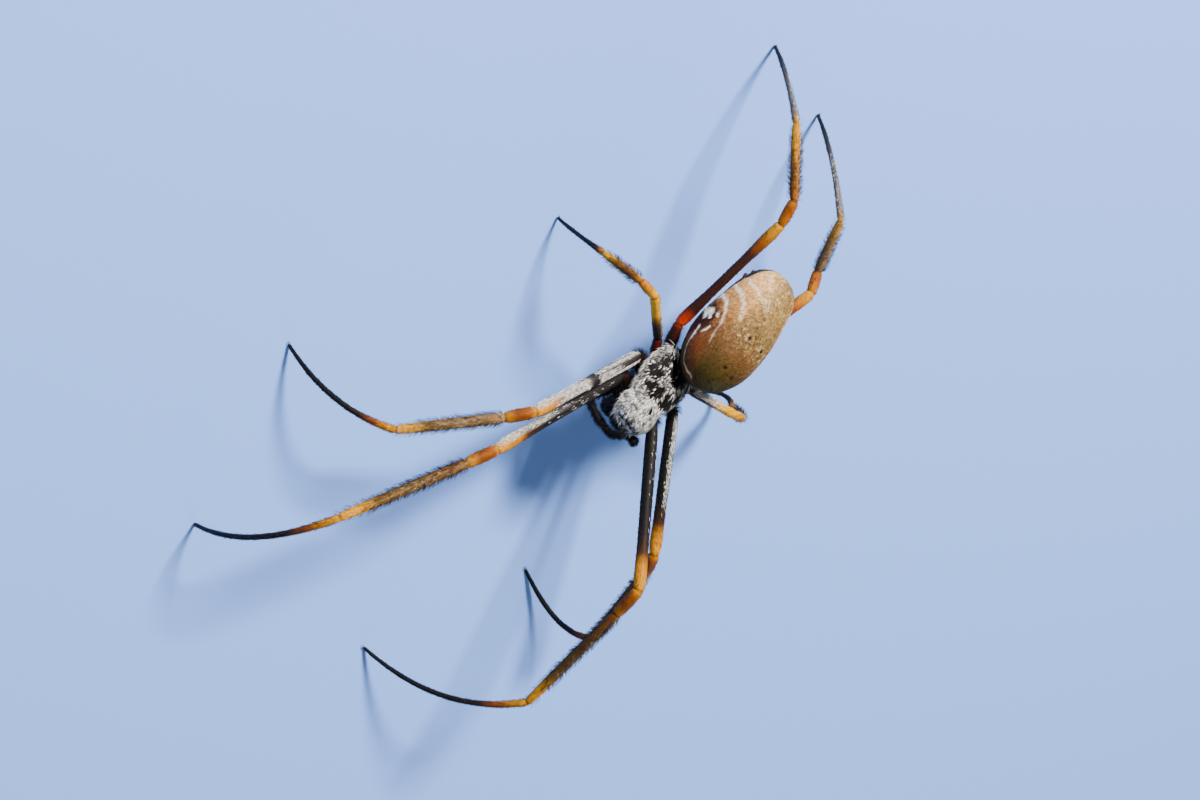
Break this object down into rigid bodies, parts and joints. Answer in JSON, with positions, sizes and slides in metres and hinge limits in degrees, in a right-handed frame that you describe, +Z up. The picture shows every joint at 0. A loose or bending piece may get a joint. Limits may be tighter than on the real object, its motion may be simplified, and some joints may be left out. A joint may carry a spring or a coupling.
{
  "type": "golden silk orb weaver model",
  "caption": "Still life-size model of a female golden silk orb weaver: a silver-haired front body, a long blunt cylinder of an abdomen and long slender jointed legs standing on their tips",
  "frame": {"origin": "middle of the bounding box, on the plane the feet stand on", "axes": "+Z up, head towards -Y, the spider's left towards +X"},
  "size_m": [0.0422, 0.0668, 0.0175],
  "materials": {
    "eye": "glossy black eye",
    "carapace": "silver-white hair on dark horn",
    "abdomen": "soft satin skin, tan with pale bars",
    "fang": "glossy red-brown horn",
    "coxa": "dark red-brown horn",
    "femur": "dark horn with silver hair",
    "patella": "orange horn",
    "tibia": "brown horn with dark bristles",
    "foot": "black bristly horn",
    "dark_horn": "black horn"
  },
  "bodies": {
    "root": {"abdomen": "abdomen", "carapace": "carapace", "chelicera_left": "dark_horn", "chelicera_right": "dark_horn", "eye_front_lateral_left": "eye", "eye_front_lateral_right": "eye", "eye_front_median_left": "eye", "eye_front_median_right": "eye", "eye_rear_lateral_left": "eye", "eye_rear_lateral_right": "eye", "eye_rear_median_left": "eye", "eye_rear_median_right": "eye", "fang_left": "fang", "fang_right": "fang", "leg_1_left_coxa": "coxa", "leg_1_left_femur": "femur", "leg_1_left_foot": "foot", "leg_1_left_patella": "patella", "leg_1_left_tibia": "tibia", "leg_1_right_coxa": "coxa", "leg_1_right_femur": "femur", "leg_1_right_foot": "foot", "leg_1_right_patella": "patella", "leg_1_right_tibia": "tibia", "leg_2_left_coxa": "coxa", "leg_2_left_femur": "femur", "leg_2_left_foot": "foot", "leg_2_left_patella": "patella", "leg_2_left_tibia": "tibia", "leg_2_right_coxa": "coxa", "leg_2_right_femur": "femur", "leg_2_right_foot": "foot", "leg_2_right_patella": "patella", "leg_2_right_tibia": "tibia", "leg_3_left_coxa": "coxa", "leg_3_left_femur": "femur", "leg_3_left_foot": "foot", "leg_3_left_patella": "patella", "leg_3_left_tibia": "tibia", "leg_3_right_coxa": "coxa", "leg_3_right_femur": "femur", "leg_3_right_foot": "foot", "leg_3_right_patella": "patella", "leg_3_right_tibia": "tibia", "leg_4_left_coxa": "coxa", "leg_4_left_femur": "femur", "leg_4_left_foot": "foot", "leg_4_left_patella": "patella", "leg_4_left_tibia": "tibia", "leg_4_right_coxa": "coxa", "leg_4_right_femur": "femur", "leg_4_right_foot": "foot", "leg_4_right_patella": "patella", "leg_4_right_tibia": "tibia", "palp_left": "dark_horn", "palp_right": "dark_horn", "pedicel": "coxa", "spinnerets": "coxa", "sternum": "dark_horn"}
  },
  "joints": []
}
